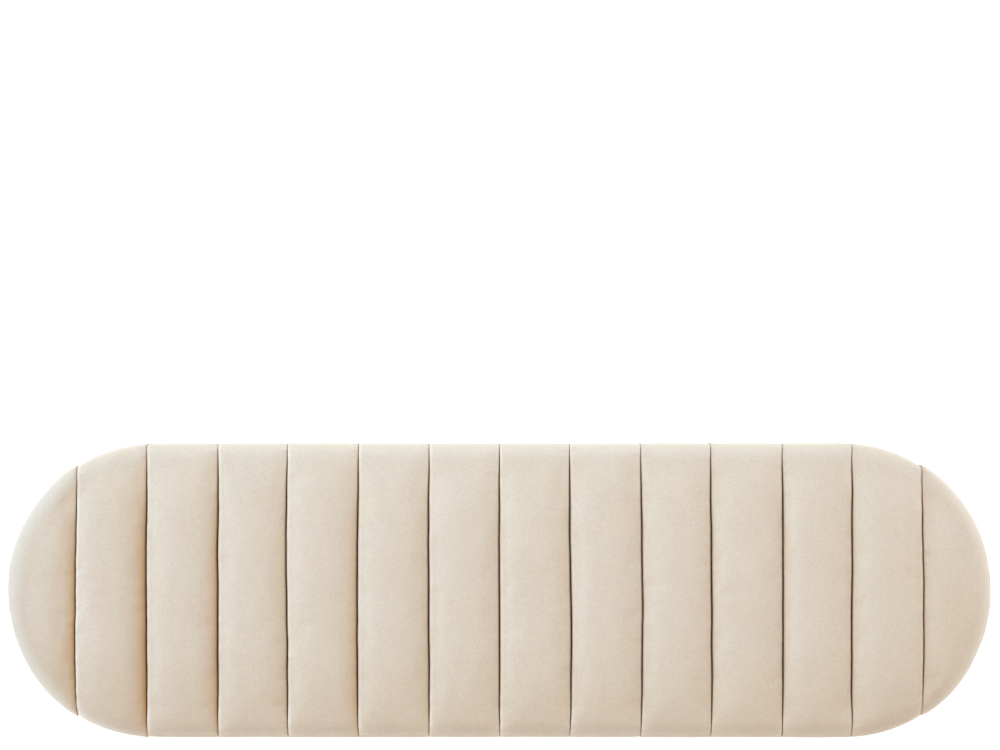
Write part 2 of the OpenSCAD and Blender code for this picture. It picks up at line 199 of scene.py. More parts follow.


# Painted highlight: the first millimetres right of a seam catch the light on most channels: how strongly, for channels
# 1 to 14.
LIT = [0.0, 1.0, 1.0, 1.0, 1.0, 0.9, 0.9, 0.8, 0.4, 0.2, 0.0, 0.0, 0.0, 0.0]
LIT_RIGHT = [0.0, 0.0, 0.0, 0.1, 0.1, 0.2, 0.3, 0.35, 0.35, 0.35, 0.35, 0.35, 0.4, 0.0]


def lit(n, d_left, d_right, along):
    # painted highlights along the front rim and the back rim as well
    front = smoothstep((-along - 0.180) / 0.030)
    back = smoothstep((along - 0.115) / 0.05) * (1 - smoothstep((along - 0.180) / 0.03))
    down = smoothstep((np.abs(along) - SEC["s_side"] + 0.010) / 0.022)
    return (1 - down) * (LIT[n - 1] * np.exp(-(((d_left - 0.0018) / 0.0020) ** 2))
            + LIT_RIGHT[n - 1] * np.exp(-(((d_right - 0.0022) / 0.0014) ** 2))
            + 0.38 * front * (np.exp(-((d_left / 0.013) ** 2)) + 0.6 * np.exp(-((d_right / 0.012) ** 2)))
            + 0.28 * back * np.exp(-((d_right / 0.011) ** 2)))


def outward(s, x, sign):
    """How much painted shade, darker and greyer than on the top, lies on the rim and side: most at the left end."""
    turned = smoothstep((s - SEC["s_rim"] + 0.030) / 0.075)
    below = smoothstep((s - SEC["s_side"] + 0.020) / 0.016)
    over = np.clip((np.abs(x) - ARC_X) / np.maximum(at("r", s), 1e-4), 0, 1)
    end = smoothstep((np.abs(x) - ARC_X + 0.02) / 0.14)
    aside = np.interp(np.sqrt(1 - over ** 2) * sign, [-1, -0.87, -0.70, -0.5, -0.2, 0.7, 1], [0.1, 0.2, 0.35, 0.8, 1, 1, 0.8])
    straight = np.where(sign > 0, 0.35 * turned, 1.0 * below)
    return straight * (1 - end) + turned * end * np.where(x < 0, aside, 0.35)


def pucker(k, delta, along, side):
    """Small gathers that a sewn seam leaves in the fabric beside it."""
    delta = np.maximum(delta, 0)
    near = np.exp(-((delta / 0.0085) ** 1.3))
    close = np.exp(-delta / 0.0032)
    w = PUCKER[k](along, side * 0.7 + 0.13 * k)
    stitch = np.cos(2 * math.pi * along / 0.0075 + 1.7 * w)
    return (0.42e-3 * w * near + 0.10e-3 * stitch * close) * smoothstep(delta / 0.0006)


def solid(name, outer, inner, extra):
    """A closed mesh from an outer and an inner grid of the same size, joined round their edges. extra holds one value
    per outer vertex for each named attribute; the inner grid gets the same ones."""
    J, I = outer.shape[:2]
    co = np.concatenate([outer.reshape(-1, 3), inner.reshape(-1, 3)])
    idx = np.arange(J * I).reshape(J, I)
    a, b, c, d = idx[:-1, :-1].ravel(), idx[:-1, 1:].ravel(), idx[1:, 1:].ravel(), idx[1:, :-1].ravel()
    N = J * I
    faces = [np.stack([a, b, c, d], 1), np.stack([d, c, b, a], 1) + N]
    ring = np.concatenate([idx[0, :-1], idx[:-1, -1], idx[-1, :0:-1], idx[:0:-1, 0]])
    nxt = np.roll(ring, -1)
    faces.append(np.stack([nxt, ring, ring + N, nxt + N], 1))
    faces = np.concatenate(faces)
    mesh = bpy.data.meshes.new(name)
    mesh.from_pydata(co.tolist(), [], faces.tolist())
    for key, values in extra.items():
        att = mesh.attributes.new(key, "FLOAT", "POINT")
        v = np.concatenate([values.ravel(), values.ravel()]).astype(np.float32)
        att.data.foreach_set("value", v)
    bm = bmesh.new()
    bm.from_mesh(mesh)
    bmesh.ops.remove_doubles(bm, verts=bm.verts, dist=2e-6)
    bmesh.ops.dissolve_degenerate(bm, dist=1e-7, edges=bm.edges)
    bmesh.ops.recalc_face_normals(bm, faces=bm.faces)
    if sum(f.calc_area() * f.calc_center_median().dot(f.normal) for f in bm.faces) < 0:
        bmesh.ops.reverse_faces(bm, faces=bm.faces)
    bm.to_mesh(mesh)
    bm.free()
    mesh.shade_smooth()
    obj = bpy.data.objects.new(name, mesh)
    COLLECTION.objects.link(obj)
    return obj


def rows_along(fine=1.0):
    """Arc lengths of the rows of a channel, from its middle to the inner edge of its hem."""
    top = np.linspace(0, SEC["s_rim"], int(60 / fine) + 1)
    rim = np.linspace(SEC["s_rim"], SEC["s_side"], int(18 / fine) + 1)[1:]
    side = np.linspace(SEC["s_side"], SEC["s_low"], int(24 / fine) + 1)[1:]
    low = np.linspace(SEC["s_low"], SEC["s_hem"], int(7 / fine) + 1)[1:]
    hem = np.linspace(SEC["s_hem"], SEC["S"], int(6 / fine) + 1)[1:]
    return np.concatenate([top, rim, side, low, hem])


def put(x, s, sign, inward, inner=False):
    """Points of the seat's surface on planes of constant x: arc length s along the section, back or front, moved
    inward along the surface's normal."""
    dx = np.maximum(np.abs(x) - ARC_X, 0)
    h_top = np.sqrt(SEC["r_rim"] ** 2 - dx ** 2)
    on_top = s <= SEC["s_rim"]
    y_top = h_top * at("r", s) / SEC["r_rim"]
    r = np.where(on_top, np.sqrt(dx ** 2 + y_top ** 2), at("r", s))
    # on the top the section is read at the true distance from the middle line
    s_here = np.where(on_top, np.interp(r, SEC["r"][: int(SEC["s_rim"] / 0.0005) + 1],
                                        SEC["s"][: int(SEC["s_rim"] / 0.0005) + 1]), s)
    if inner:
        ri, zi = at("ri", s_here), at("zi", s_here)
        y = np.where(on_top, y_top, np.sqrt(np.maximum(ri ** 2 - dx ** 2, 1e-8)))
        return np.stack(np.broadcast_arrays(x, y * sign, zi), -1)
    nr, nz = at("nr", s_here), at("nz", s_here)
    z = at("z", s_here) - nz * inward
    y_rim = np.sqrt(np.maximum((r - nr * inward) ** 2 - dx ** 2, 1e-8))
    y = np.where(on_top, y_top - nr * inward * r * y_top / h_top ** 2, y_rim)
    return np.stack(np.broadcast_arrays(x, y * sign, z), -1)


SLACK = 0.0007      # what the cloth gains when it is pressed out


def dent(s, delta):
    """The outermost seams pull the rim and side of the round ends in beside them."""
    down = smoothstep((s - SEC["s_rim"] + 0.01) / 0.03) * smoothstep((SEC["s_low"] - s) / 0.03)
    return down * (0.0009 * np.exp(-delta / 0.010) + 0.0017 * np.exp(-delta / 0.0040))


# How far the rim and side of the two end channels stand out of the round outline, in millimetres, at angles from the
# front corner (-62 degrees) over the end's middle (0) to the back one.
SWELL_AT = np.array([-62, -54, -45, -36, -24, -8, 0, 10, 20, 30, 40, 48, 55, 62])
SWELL = {-1: np.array([1.8, 2.1, 1.6, 0.8, 0.0, -0.5, 0.5, 1.5, 0.7, 0.0, 0.6, 2.2, 2.5, 2.8]),
         1: np.array([0.9, 2.1, 2.4, 1.2, 0.3, 0.2, -0.3, 0.5, 1.5, 2.1, 1.9, 2.8, 3.3, 3.7])}


def swell(s, angle, side):
    near = np.exp(-(((np.degrees(angle)[..., None] - SWELL_AT) / 6) ** 2)) + 1e-9
    out = (near * SWELL[side]).sum(-1) / near.sum(-1)
    return 1e-3 * out * smoothstep((s - SEC["s_rim"] + 0.012) / 0.030) * (1 - smoothstep((s - SEC["s_side"] - 0.01) / 0.06))


def seam_shade_strength(s):
    """How dark the painted shade in the seams is: they open on the rim, and close again on the side."""
    return 1 - 0.75 * at("blunt", s) * (1 - 0.6 * smoothstep((s - SEC["s_side"]) / 0.02))


def valley_depth(s, x):
    """Depth of the seams: shallower where a seam runs out over the rim of a round end."""
    dx = np.maximum(np.abs(x) - ARC_X, 0)
    return at("depth", s) * (1 - 0.30 * smoothstep(dx / 0.12))


def channel_grid(n, sewn=True, fine=1.0):
    """Outer and inner grids of channels 2 to 13, what the material reads, and each point's arc length. Without sewn,
    the outer face is the plain stuffed form that the cloth starts from."""
    rng = np.random.default_rng(500 + n)
    half = rows_along(fine)
    s = np.concatenate([half[:0:-1], half])[:, None]
    sign = np.concatenate([-np.ones(len(half) - 1), np.ones(len(half))])[:, None]
    cols = int(34 / fine) | 1
    t = np.sin(np.linspace(-1, 1, cols) * math.pi / 2)
    t = 0.82 * t + 0.18 * np.linspace(-1, 1, cols)
    t = t[None, :]
    left, right = n - 2, n - 1
    gap = at("gap", s)
    xl = seam_line(left, s, sign) + gap * OPEN[left]
    xr = seam_line(right, s, sign) - gap * OPEN[right]
    x = xl + (xr - xl) * (t + 1) / 2
    d_left, d_right = x - xl, xr - x
    power = 2.08 + rng.uniform(-0.08, 0.08)
    lean = rng.uniform(-0.05, 0.05)
    up = crown(t + lean * (1 - t ** 2), power, at("blunt", s))
    low = valley_depth(s, x)
    along = s * sign
    off = low * (1 - up) + (rng.uniform(0.0, 0.0006) + SLACK) * up
    if n in (2, 13):
        off = off + 0.25 * dent(s, d_left if n == 2 else d_right)
    bump = (0.30e-3 * BROAD(x, along) + 0.13e-3 * MEDIUM(x, along)) * (1 - 0.6 * at("blunt", s))
    edge = smoothstep(np.minimum(d_left, d_right) / 0.02)
    if sewn:
        off = off - bump * edge
        off = off - pucker(left, d_left, along, 1) - pucker(right, d_right, along, -1)
        off = off + hem_folds(x, s, sign)
    outer = put(x, s, sign, off)
    shut = gap - 0.00012
    inner = put(x - shut * OPEN[left] * np.exp(-d_left / 0.004) + shut * OPEN[right] * np.exp(-d_right / 0.004),
                s, sign, 0, inner=True)
    # painted shade in and right beside each seam
    seam_shadow = np.maximum(np.exp(-d_right / 0.00058), np.exp(-d_left / 0.0003)) * seam_shade_strength(s)
    return outer, inner, dict(seam_shadow=seam_shadow, flank_shade=flank_shade(n, d_left, d_right, along), lit=np.minimum(lit(n, d_left, d_right, along), 1), shade=outward(s, x, sign)), \
        np.broadcast_to(s, x.shape)


def hem_folds(x, s, sign):
    """Little pleats where the fabric is pulled in and stapled under the frame."""
    under = smoothstep((s - SEC["s_low"] - 0.004) / 0.02)
    bend = smoothstep((np.abs(x) - ARC_X + 0.02) / 0.06)
    wave = np.cos(2 * math.pi * x / 0.028 + 1.3 * sign + 2 * np.cos(x * 41))
    return under * (0.25e-3 + 0.7e-3 * bend) * (0.5 + 0.5 * wave)


def end_grid(side, sewn=True, fine=1.0):
    """Outer and inner grids of an end channel: rows are rays from the centre of the round end, columns run from the
    seam outwards, over the rim and down the side."""
    k = 12 if side > 0 else 0
    rng = np.random.default_rng(900 + k)
    s_table, r_table = SEC["s"], SEC["r"]
    upto = int(round(SEC["s_side"] / 0.0005)) + 1
    r_side = float(np.interp(SEC["s_side"], s_table, r_table))

    def seam_dx(s, sign):
        return np.abs(seam_line(k, s, sign)) - ARC_X + at("gap", s) * OPEN[k]

    def limit(s, sign):
        """Angle at which the seam crosses the circle of the section's radius at s."""
        return np.arccos(np.clip(seam_dx(s, sign) / at("r", s), -1, 1))

    rows = int(118 / fine) | 1
    v = np.sin(np.linspace(-1, 1, rows) * math.pi / 2) * 0.55 + np.linspace(-1, 1, rows) * 0.45
    sign = np.where(v < 0, -1.0, 1.0)
    th_max = np.array([float(limit(SEC["s_side"], g)) for g in sign])
    th = v * th_max
    # where each ray meets the seam
    r0 = 0.12 / np.cos(th)
    for _ in range(6):
        y0 = np.abs(r0 * np.sin(th))
        h_top = math.sqrt(SEC["r_rim"] ** 2 - 0.12 ** 2)
        s_on_seam = np.where(r0 < SEC["r_rim"], np.interp(np.minimum(y0 / h_top, 1) * SEC["r_rim"], r_table[:upto], s_table[:upto]),
                             np.interp(r0, r_table[:upto], s_table[:upto]))
        r0 = np.minimum(seam_dx(s_on_seam, sign) / np.cos(th), r_side)
    s0 = np.interp(r0, r_table[:upto], s_table[:upto])
    near = np.array([0, 0.25, 0.8, 1.7, 3.0, 4.8, 7.2, 10.2, 13.8, 18.0]) * 1e-3
    whole = SEC["S"] - float(np.interp(0.12, r_table[:upto], s_table[:upto]))
    count = int(67 / fine)
    u = np.concatenate([near / whole, near[-1] / whole + (1 - near[-1] / whole) * np.arange(1, count + 1) / count])[None, :]
    s = s0[:, None] + (SEC["S"] - s0[:, None]) * u
    sg = np.broadcast_to(sign[:, None], s.shape)
    low_side = s > SEC["s_side"]
    th_g = np.where(low_side, (v[:, None] * limit(s, sg)), th[:, None])
    r = at("r", s)
    nr, nz = at("nr", s), at("nz", s)
    x_here = r * np.cos(th_g)
    y_here = r * np.sin(th_g)
    s_seam = np.where(r < SEC["r_rim"],
                      np.interp(np.minimum(np.abs(y_here) / h_top, 1) * SEC["r_rim"], r_table[:upto], s_table[:upto]), s)
    flat_gap = np.maximum(x_here - seam_dx(s_seam, sg), 0)
    delta = flat_gap / np.sqrt(np.maximum(1 - (nr * np.cos(th_g)) ** 2, 0.2))
    power = 2.08 + rng.uniform(-0.08, 0.08)
    up = crown(np.maximum(1 - delta / HALF, 0), power, at("blunt", s_seam))
    along = s_seam * sg
    low = at("depth", s_seam) * 0.70
    xw = side * (ARC_X + x_here)
    off = low * (1 - up) + SLACK * up * smoothstep((SEC["s_hem"] - s) / 0.02) + dent(s, delta) - swell(s, th_g, side)
    bump = (0.35e-3 * BROAD(xw, y_here + 0.2) + 0.13e-3 * MEDIUM(xw, y_here)) * (1 - 0.6 * at("blunt", s))
    arc = th_g * r
    under = smoothstep((s - SEC["s_low"] - 0.004) / 0.02)
    if sewn:
        off = off - bump * smoothstep(delta / 0.02) * smoothstep((SEC["S"] - s) / 0.03)
        off = off - pucker(k, delta, along, side)
        off = off + under * 0.9e-3 * (0.5 + 0.5 * np.cos(2 * math.pi * arc / 0.026 + 1.5 * np.cos(arc * 37)))
    r_out, z_out = r - nr * off, at("z", s) - nz * off
    outer = np.stack([side * (ARC_X + r_out * np.cos(th_g)), r_out * np.sin(th_g), z_out], -1)
    ri, zi = at("ri", s), at("zi", s)
    inner = np.stack([side * (ARC_X + ri * np.cos(th_g)), ri * np.sin(th_g), zi], -1)
    # on the seam itself the valley keeps to the seam's own plane
    keep = np.exp(-delta / 0.004) * (nr > 0.05)
    want = side * (ARC_X + seam_dx(s_seam, sg) + flat_gap)
    outer[..., 0] += (want - outer[..., 0]) * keep
    # painted shade in and right beside the seam
    seam_shadow = np.exp(-delta / (0.0003 if side > 0 else 0.00058)) * seam_shade_strength(s)
    # painted flank shade of the two end channels beside their seams
    far = np.full(delta.shape, 1.0)
    tint = flank_shade(1, far, delta, along)
    if side > 0:                             # painted flank shade at the right end's left edge and faintly over the channel, and a darker, warmer patch on its front half
        patch = np.exp(-(((delta - 0.052) / 0.028) ** 2) - ((along + 0.055) / 0.075) ** 2)
        tint = flank_shade(14, delta, far, along) + 0.07 * np.exp(-delta / 0.08) + 0.13 * patch
    shine = np.minimum(lit(14, delta, far, along) if side > 0 else lit(1, far, delta, along), 1)
    return outer, inner, dict(seam_shadow=seam_shadow, flank_shade=tint, lit=shine, shade=outward(s, xw, sg)), s


def settle(grids):
    """Runs Blender's cloth on the channels' outer faces, every second row and column of each: one sheet to a channel,
    sewn down along its seams, held at its hem and pressed out by the wadding. Returns how far every point of the full
    grids moves."""
    verts, faces, pins, parts = [], [], [], []
    base = 0
    for g in grids:
        c = g[::2, ::2]
        J, I = c.shape[:2]
        idx = np.arange(J * I).reshape(J, I) + base
        verts.append(c.reshape(-1, 3))
        quads = np.stack([idx[:-1, :-1].ravel(), idx[:-1, 1:].ravel(), idx[1:, 1:].ravel(), idx[1:, :-1].ravel()], 1)
        m = J // 2, I // 4                       # the sheet's outer side faces up on its top
        up = np.cross(c[m[0], m[1] + 1] - c[m], c[m[0] + 1, m[1]] - c[m])[2] > 0
        faces.append(quads if up else quads[:, ::-1])
        hold = np.zeros((J, I), bool)
        hold[:, 0] = hold[:, -1] = hold[0] = hold[-1] = True
        hold |= c[..., 2] < Z_HEM + 0.004
        pins.append(idx[hold])
        parts.append((J, I))
        base += J * I
    co = np.concatenate(verts)
    mesh = bpy.data.meshes.new("settle")
    mesh.from_pydata(co.tolist(), [], np.concatenate(faces).tolist())
    obj = bpy.data.objects.new("settle", mesh)
    COLLECTION.objects.link(obj)
    group = obj.vertex_groups.new(name="pin")
    group.add([int(i) for i in np.concatenate(pins)], 1.0, "REPLACE")
    mod = obj.modifiers.new("cloth", "CLOTH")
    c = mod.settings
    c.quality = 6
    c.mass = CLOTH["mass"]
    c.tension_stiffness = c.compression_stiffness = CLOTH["stretch"]
    c.shear_stiffness = CLOTH["shear"]
    c.bending_stiffness = CLOTH["bend"]
    c.tension_damping = c.compression_damping = c.shear_damping = 8
    c.bending_damping = 1.0
    c.air_damping = 4
    c.vertex_group_mass = "pin"
    c.shrink_min = c.shrink_max = -CLOTH["spare"]
    c.use_pressure = True
    c.uniform_pressure_force = CLOTH["pressure"]
    c.effector_weights.gravity = 0
    mod.collision_settings.use_collision = False
    mod.collision_settings.use_self_collision = False
    mod.point_cache.frame_start, mod.point_cache.frame_end = 1, CLOTH["frames"]
    for f in range(1, CLOTH["frames"] + 1):
        SCENE.frame_set(f)
    seen = obj.evaluated_get(bpy.context.evaluated_depsgraph_get())
    out = np.zeros(len(co) * 3, np.float32)
    seen.data.vertices.foreach_get("co", out)
    out = out.reshape(-1, 3).astype(float)
    SCENE.frame_set(1)
    bpy.data.objects.remove(obj)
    move = out - co
    move[~np.isfinite(move).all(1)] = 0
    size = np.linalg.norm(move, axis=1, keepdims=True)
    print("settle: mean %.2f mm, most %.2f mm" % (size.mean() * 1e3, size.max() * 1e3))
    move *= CLOTH["cap"] * np.tanh(size / CLOTH["cap"]) / np.maximum(size, 1e-9)
    moves, k = [], 0
    for g, (J, I) in zip(grids, parts):
        m = move[k:k + J * I].reshape(J, I, 3)
        k += J * I
        full = np.zeros(g.shape)
        full[::2, ::2] = m
        full[1::2, ::2] = (m[:-1] + m[1:]) / 2
        full[:, 1::2] = (full[:, :-1:2] + full[:, 2::2]) / 2
        soft = full.copy()                       # takes off the corners left by the coarse grid
        soft[1:-1, 1:-1] = (full[1:-1, 1:-1] * 4 + full[:-2, 1:-1] * 2 + full[2:, 1:-1] * 2 + full[1:-1, :-2] + full[1:-1, 2:]) / 10
        moves.append(soft)
    return moves


def held(part, move, ends):
    """The cloth's moves, let out less beside the seams and down the sides, where the fabric is pulled tight."""
    s = part[3]
    i = np.arange(s.shape[1])[None, :]
    from_seam = np.minimum(i, 99 if ends else s.shape[1] - 1 - i)
    return move * (smoothstep(from_seam / 6.0) * (1 - 0.7 * at("blunt", s)))[..., None]


CLOTH = dict(mass=0.004, stretch=50.0, shear=10.0, bend=2.0, spare=0.0035, pressure=0.8, frames=20, cap=0.0020)


def make_channels():
    def grids(sewn):
        return [end_grid(-1, sewn)] + [channel_grid(n, sewn) for n in range(2, 14)] + [end_grid(1, sewn)]

    parts = grids(True)
    moves = [0.0] * len(parts)
    moves = settle([p[0] for p in grids(False)])
    moves = [held(p, m, i in (0, 13)) for i, (p, m) in enumerate(zip(parts, moves))]
    return [solid("velvet_channel_%02d" % (i + 1), p[0] + move, p[1], p[2])
            for i, (p, move) in enumerate(zip(parts, moves))]


# ---------------------------------------------------------------- materials
def linear(c):
    return tuple(x / 12.92 if x <= 0.04045 else ((x + 0.055) / 1.055) ** 2.4 for x in c)


class Mat:
    """A node material with short names for what it links."""

    def __init__(self, name):
        self.m = bpy.data.materials.new(name)
        self.m.use_nodes = True
        self.t = self.m.node_tree
        self.bsdf = self.t.nodes["Principled BSDF"]
        self.coord = self.n("ShaderNodeTexCoord").outputs["Object"]

    def n(self, kind, **values):
        node = self.t.nodes.new(kind)
        for k, v in values.items():
            setattr(node, k, v)
        return node

    def link(self, a, b):
        self.t.links.new(a, b)
        return a

    def scaled(self, scale, turn=(0, 0, 0)):
        m = self.n("ShaderNodeMapping")
        m.inputs["Scale"].default_value = scale
        m.inputs["Rotation"].default_value = turn
        self.link(self.coord, m.inputs["Vector"])
        return m.outputs["Vector"]

    def noise(self, scale, detail=3.0, rough=0.55, vector=None, distortion=0.0):
        t = self.n("ShaderNodeTexNoise")
        t.inputs["Scale"].default_value = scale
        t.inputs["Detail"].default_value = detail
        t.inputs["Roughness"].default_value = rough
        t.inputs["Distortion"].default_value = distortion
        self.link(vector or self.coord, t.inputs["Vector"])
        return t.outputs["Fac"]

    def wave(self, scale, vector=None, distortion=0.0, direction="X", detail=2.0, dscale=1.0):
        t = self.n("ShaderNodeTexWave", bands_direction=direction)
        t.inputs["Scale"].default_value = scale
        t.inputs["Distortion"].default_value = distortion
        t.inputs["Detail"].default_value = detail
        t.inputs["Detail Scale"].default_value = dscale
        self.link(vector or self.coord, t.inputs["Vector"])
        return t.outputs["Fac"]

    def attribute(self, name):
        return self.n("ShaderNodeAttribute", attribute_name=name).outputs["Fac"]

    def ramp(self, fac, stops):
        r = self.n("ShaderNodeValToRGB")
        e = r.color_ramp.elements
        while len(e) < len(stops):
            e.new(0.5)
        for el, (p, c) in zip(e, stops):
            el.position = p
            el.color = (*c, 1) if len(c) == 3 else c
        self.link(fac, r.inputs["Fac"])
        return r.outputs["Color"]

    def range(self, fac, a, b, c, d):
        r = self.n("ShaderNodeMapRange")
        for i, v in enumerate((a, b, c, d)):
            r.inputs[i + 1].default_value = v
        self.link(fac, r.inputs[0])
        return r.outputs[0]

    def math(self, op, a, b=None):
        m = self.n("ShaderNodeMath", operation=op)
        for i, v in enumerate((a, b)):
            if v is None:
                continue
            if isinstance(v, (int, float)):
                m.inputs[i].default_value = v
            else:
                self.link(v, m.inputs[i])
        return m.outputs[0]

    def mix(self, fac, a, b, blend="MIX"):
        m = self.n("ShaderNodeMix", data_type="RGBA", blend_type=blend)
        for socket, v in ((m.inputs["Factor"], fac), (m.inputs["A"], a), (m.inputs["B"], b)):
            pass
        ins = [i for i in m.inputs if i.enabled]
        for socket, v in zip(ins, (fac, a, b)):
            if isinstance(v, (int, float)):
                socket.default_value = v
            elif isinstance(v, tuple):
                socket.default_value = (*v, 1) if len(v) == 3 else v
            else:
                self.link(v, socket)
        return [o for o in m.outputs if o.enabled][0]

    def bump(self, height, strength, distance, normal=None):
        b = self.n("ShaderNodeBump")
        b.inputs["Strength"].default_value = strength
        b.inputs["Distance"].default_value = distance
        self.link(height, b.inputs["Height"])
        if normal is not None:
            self.link(normal, b.inputs["Normal"])
        return b.outputs["Normal"]

    def set(self, **values):
        for k, v in values.items():
            socket = self.bsdf.inputs[k.replace("_", " ")]
            if isinstance(v, (int, float, tuple)):
                socket.default_value = (*v, 1) if isinstance(v, tuple) and len(v) == 3 and socket.type == "RGBA" else v
            else:
                self.link(v, socket)
        return self


def velvet():
    m = Mat("velvet_cream")
    flank_shade_colour = linear((0.80, 0.645, 0.455))
    mid = linear((0.895, 0.845, 0.775))
    pale = linear((0.915, 0.872, 0.81))
    # pile brushed in drifting patches, a fine mottle, and a faint stroke along each channel
    stroke = m.noise(1.0, 4.0, 0.6, m.scaled((55, 16, 30)))
    patch = m.noise(11.0, 3.0, 0.5)
    mottle = m.noise(230.0, 3.0, 0.65)
    grain = m.noise(900.0, 2.0, 0.6)
    tone = m.math("ADD", m.math("MULTIPLY", stroke, 0.30), m.math("MULTIPLY", patch, 0.25))
    tone = m.math("ADD", tone, m.math("MULTIPLY", mottle, 0.30))
    tone = m.math("ADD", tone, m.math("MULTIPLY", grain, 0.15))
    colour = m.ramp(tone, [(0.36, mid), (0.64, pale)])
    fleck = m.noise(1.0, 3.0, 0.65, m.scaled((230, 400, 330)))
    fleck = m.range(m.math("ADD", m.math("MULTIPLY", fleck, 0.6), m.math("MULTIPLY", mottle, 0.4)), 0.3, 0.7, 0.935, 1.065)
    warm = m.range(m.noise(1.0, 2.0, 0.6, m.scaled((120, 260, 200))), 0.3, 0.7, -0.02, 0.02)
    drift = m.range(m.noise(17.0, 2.0, 0.5), 0.3, 0.7, -0.012, 0.012)
    warm = m.math("ADD", warm, drift)
    tint = m.n("ShaderNodeCombineColor")
    m.link(m.math("ADD", fleck, m.math("MULTIPLY", warm, 0.5)), tint.inputs["Red"])
    m.link(fleck, tint.inputs["Green"])
    m.link(m.math("SUBTRACT", fleck, warm), tint.inputs["Blue"])
    colour = m.mix(1.0, colour, tint.outputs["Color"], "MULTIPLY")
    # painted shade, deeper and warmer, on the channels' flanks beside the seams
    colour = m.mix(m.attribute("flank_shade"), colour, flank_shade_colour)
    # painted highlight beside the seams and along the rims
    colour = m.mix(m.attribute("lit"), colour, linear((0.99, 0.955, 0.90)))
    # painted shade, greyer and darker, on the rim and side
    colour = m.mix(m.math("MULTIPLY", m.attribute("shade"), 0.42), colour, linear((0.742, 0.674, 0.592)))
    seam_shadow = m.attribute("seam_shadow")                  # painted shade at each seam: a golden band where the pile parts, dark brown down in the seam
    colour = m.mix(m.math("MULTIPLY", m.math("POWER", seam_shadow, 0.5), 0.42), colour, linear((0.66, 0.45, 0.18)))
    colour = m.mix(seam_shadow, colour, linear((0.41, 0.20, 0.01)))
    height = m.math("ADD", m.math("MULTIPLY", grain, 0.6), m.math("MULTIPLY", mottle, 0.9))
    normal = m.bump(height, 0.22, 0.0006)
    m.set(Base_Color=colour, Roughness=0.92, Specular_IOR_Level=0.12, Normal=normal)
    m.bsdf.inputs["Sheen Weight"].default_value = 0.42
    m.bsdf.inputs["Sheen Roughness"].default_value = 0.45
    m.bsdf.inputs["Sheen Tint"].default_value = (1.0, 0.92, 0.80, 1)
    return m.m


def metal(name, colour, rough, grain_scale, brushed=(1, 1, 1), tint=0.06):
    m = Mat(name)
    fine = m.noise(1.0, 4.0, 0.6, m.scaled(tuple(grain_scale * b for b in brushed)))
    cloud = m.noise(18.0, 3.0, 0.5)
    base = linear(colour)
    darker = tuple(c * (1 - 3 * tint) for c in base)
    tone = m.mix(m.range(cloud, 0.35, 0.65, 0.0, 1.0), darker, base)
    tone = m.mix(m.math("MULTIPLY", fine, 0.25), tone, tuple(min(1, c * 1.1) for c in base))
    m.set(Base_Color=tone, Metallic=1.0,
          Roughness=m.range(fine, 0.2, 0.8, rough * 0.75, rough * 1.3),
          Normal=m.bump(fine, 0.12, 0.0002))
    return m.m


def wood(name, pale, dark, along, ring=26.0, ply=False):
    m = Mat(name)
    scale = {"x": (1.2, 14, 14), "y": (14, 1.2, 14), "z": (14, 14, 1.2)}[along]
    v = m.scaled(scale)
    bands = m.wave(ring / 14, v, 5.0, {"x": "Y", "y": "X", "z": "X"}[along], 3.0, 1.3)
    pores = m.noise(1.0, 5.0, 0.6, m.scaled(tuple(30 * s for s in scale)))
    fac = m.math("ADD", m.math("MULTIPLY", bands, 0.6), m.math("MULTIPLY", pores, 0.4))
    colour = m.ramp(fac, [(0.15, linear(dark)), (0.75, linear(pale))])
    if ply:
        layers = m.wave(1.0, m.scaled((0.001, 0.001, 210)), 0.4, "Z", 1.0, 0.5)
        colour = m.mix(m.math("MULTIPLY", layers, 0.35), colour, linear(dark))
    m.set(Base_Color=colour, Roughness=m.range(pores, 0.3, 0.7, 0.5, 0.72), Specular_IOR_Level=0.3,
          Normal=m.bump(fac, 0.25, 0.0005))
    return m.m


def cloth(name, pale, dark, scale, strength=0.5):
    m = Mat(name)
    warp = m.wave(scale, None, 0.6, "X", 1.0, 2.0)
    weft = m.wave(scale, None, 0.6, "Y", 1.0, 2.0)
    weave = m.math("MAXIMUM", warp, weft)
    blot = m.noise(60.0, 3.0, 0.6)
    fac = m.math("ADD", m.math("MULTIPLY", weave, 0.6), m.math("MULTIPLY", blot, 0.4))
    m.set(Base_Color=m.ramp(fac, [(0.2, linear(dark)), (0.85, linear(pale))]), Roughness=0.88,
          Specular_IOR_Level=0.2, Normal=m.bump(fac, strength, 0.0004))
    m.bsdf.inputs["Sheen Weight"].default_value = 0.15
    return m.m


def plastic(name, colour, rough, scale=900.0):
    m = Mat(name)
    speck = m.noise(scale, 3.0, 0.6)
    cloud = m.noise(40.0, 3.0, 0.5)
    base = linear(colour)
    m.set(Base_Color=m.mix(m.range(cloud, 0.3, 0.7, 0, 1), base, tuple(c * 1.35 + 0.004 for c in base)),
          Roughness=m.range(speck, 0.3, 0.7, rough * 0.85, min(1, rough * 1.15)),
          Normal=m.bump(speck, 0.15, 0.0003))
    return m.m


def foam():
    m = Mat("foam")
    cells = m.n("ShaderNodeTexVoronoi")
    cells.inputs["Scale"].default_value = 420.0
    m.link(m.coord, cells.inputs["Vector"])
    fac = cells.outputs["Distance"]
    m.set(Base_Color=m.ramp(fac, [(0.0, linear((0.90, 0.86, 0.70))), (0.7, linear((0.96, 0.93, 0.80)))]),
          Roughness=0.95, Specular_IOR_Level=0.1, Normal=m.bump(fac, 0.5, 0.0006))
    return m.m


def backdrop_material():
    m = Mat("backdrop_pale")
    m.bsdf.inputs["Base Color"].default_value = (0, 0, 0, 1)
    m.bsdf.inputs["Specular IOR Level"].default_value = 0
    m.bsdf.inputs["Emission Color"].default_value = (*linear((0.925, 0.90, 0.88)), 1)
    m.bsdf.inputs["Emission Strength"].default_value = 1.0
    return m.m


